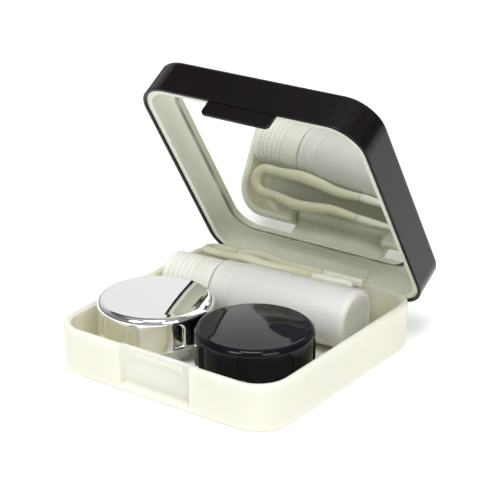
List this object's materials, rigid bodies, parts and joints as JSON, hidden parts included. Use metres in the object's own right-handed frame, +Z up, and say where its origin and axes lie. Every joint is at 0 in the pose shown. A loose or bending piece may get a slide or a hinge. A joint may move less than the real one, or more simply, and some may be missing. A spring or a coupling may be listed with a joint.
{
  "type": "contact lens case",
  "caption": "Square travel case with a hinged mirror lid, a two-well lens case with screw caps, a dropper bottle and soft-tipped tweezers.",
  "frame": {"origin": "middle of the tray's flat underside", "axes": "+X to the right along the front edge, +Y towards the lid's hinge, +Z up"},
  "size_m": [0.07, 0.0835, 0.0731],
  "materials": {
    "tray_plastic": "satin ivory, slightly see-through at thin walls",
    "pin_steel": "plain drawn wire",
    "cover_gloss": "polished near-black",
    "liner_plastic": "pale grey-green, fine satin",
    "mirror": "silvered flat mirror with a small bevel",
    "tape_foam": "double-sided foam tape",
    "case_plastic": "plain white polypropylene",
    "cap_chrome": "bright plated, mirror-like",
    "cap_gloss_black": "polished black",
    "seal_rubber": "soft pale sealing disc",
    "bottle_plastic": "cloudy soft polyethylene",
    "bottle_cap_plastic": "cloudy ribbed polypropylene",
    "tweezer_plastic": "cream, slightly see-through",
    "tip_silicone": "soft clear silicone"
  },
  "bodies": {
    "tray": {"tray": "tray_plastic", "hinge_pin": "pin_steel"},
    "lid": {"lid_cover": "cover_gloss", "lid_liner": "liner_plastic", "mirror": "mirror", "mirror_tape": "tape_foam"},
    "lens_case": {"lens_case": "case_plastic"},
    "left_seal": {"left_cap_seal": "seal_rubber"},
    "left_cap": {"left_cap_shell": "cap_chrome", "left_cap_insert": "case_plastic"},
    "right_seal": {"right_cap_seal": "seal_rubber"},
    "right_cap": {"right_cap_shell": "cap_gloss_black", "right_cap_insert": "case_plastic"},
    "bottle": {"bottle_body": "bottle_plastic", "bottle_plug": "bottle_plastic"},
    "bottle_seal": {"bottle_cap_seal": "seal_rubber"},
    "bottle_cap": {"bottle_cap": "bottle_cap_plastic"},
    "tweezers": {"tweezer_bow": "tweezer_plastic"},
    "tweezer_front": {"tweezer_arm_front": "tweezer_plastic", "tweezer_tip_front": "tip_silicone"},
    "tweezer_rear": {"tweezer_arm_rear": "tweezer_plastic", "tweezer_tip_rear": "tip_silicone"}
  },
  "joints": [
    {"name": "lid_hinge", "type": "hinge", "parent": "tray", "child": "lid", "pos_m": [0, 0.0324, 0.007], "axis": [-1, 0, 0], "range_deg": [-58.1, 32]},
    {"name": "lens_case_lift", "type": "slide", "parent": "tray", "child": "lens_case", "axis": [0, 0, 1], "range_m": [0, 0.014]},
    {"name": "left_cap_lift", "type": "slide", "parent": "lens_case", "child": "left_seal", "axis": [0, 0, 1], "range_m": [0, 0.008]},
    {"name": "left_cap_turn", "type": "hinge", "parent": "left_seal", "child": "left_cap", "pos_m": [-0.0166, -0.0135, 0.0125], "axis": [0, 0, 1], "range_deg": [0, 960.5]},
    {"name": "right_cap_lift", "type": "slide", "parent": "lens_case", "child": "right_seal", "axis": [0, 0, 1], "range_m": [0, 0.008]},
    {"name": "right_cap_turn", "type": "hinge", "parent": "right_seal", "child": "right_cap", "pos_m": [0.0152, -0.0135, 0.0125], "axis": [0, 0, 1], "range_deg": [0, 960.5]},
    {"name": "bottle_lift", "type": "slide", "parent": "tray", "child": "bottle", "axis": [0, 0, 1], "range_m": [0, 0.013]},
    {"name": "bottle_cap_slide", "type": "slide", "parent": "bottle", "child": "bottle_seal", "axis": [-0.9976, -0.0698, 0], "range_m": [0, 0.001]},
    {"name": "bottle_cap_turn", "type": "hinge", "parent": "bottle_seal", "child": "bottle_cap", "pos_m": [-0.0023, 0.015, 0.01015], "axis": [-0.9976, -0.0698, 0], "range_deg": [0, 129.1]},
    {"name": "tweezers_lift", "type": "slide", "parent": "bottle", "child": "tweezers", "axis": [0, -0.5299, 0.848], "range_m": [0, 0.03]},
    {"name": "squeeze_front", "type": "hinge", "parent": "tweezers", "child": "tweezer_front", "pos_m": [-0.02055, 0.02244, 0.01584], "axis": [-0.0086, 0.2248, 0.9744], "range_deg": [0, 2.4], "stiffness_Nm_per_rad": 0.03},
    {"name": "squeeze_rear", "type": "hinge", "parent": "tweezers", "child": "tweezer_rear", "pos_m": [-0.02081, 0.02925, 0.01426], "axis": [-0.0086, 0.2248, 0.9744], "range_deg": [-2.4, 0], "stiffness_Nm_per_rad": 0.03}
  ],
  "couplings": [
    {"joint": "left_cap_turn", "follows": "left_cap_lift", "rad_per_m": 2094.4},
    {"joint": "right_cap_turn", "follows": "right_cap_lift", "rad_per_m": 2094.4},
    {"joint": "bottle_cap_turn", "follows": "bottle_cap_slide", "rad_per_m": 2244},
    {"joint": "squeeze_rear", "follows": "squeeze_front", "ratio": -1}
  ]
}
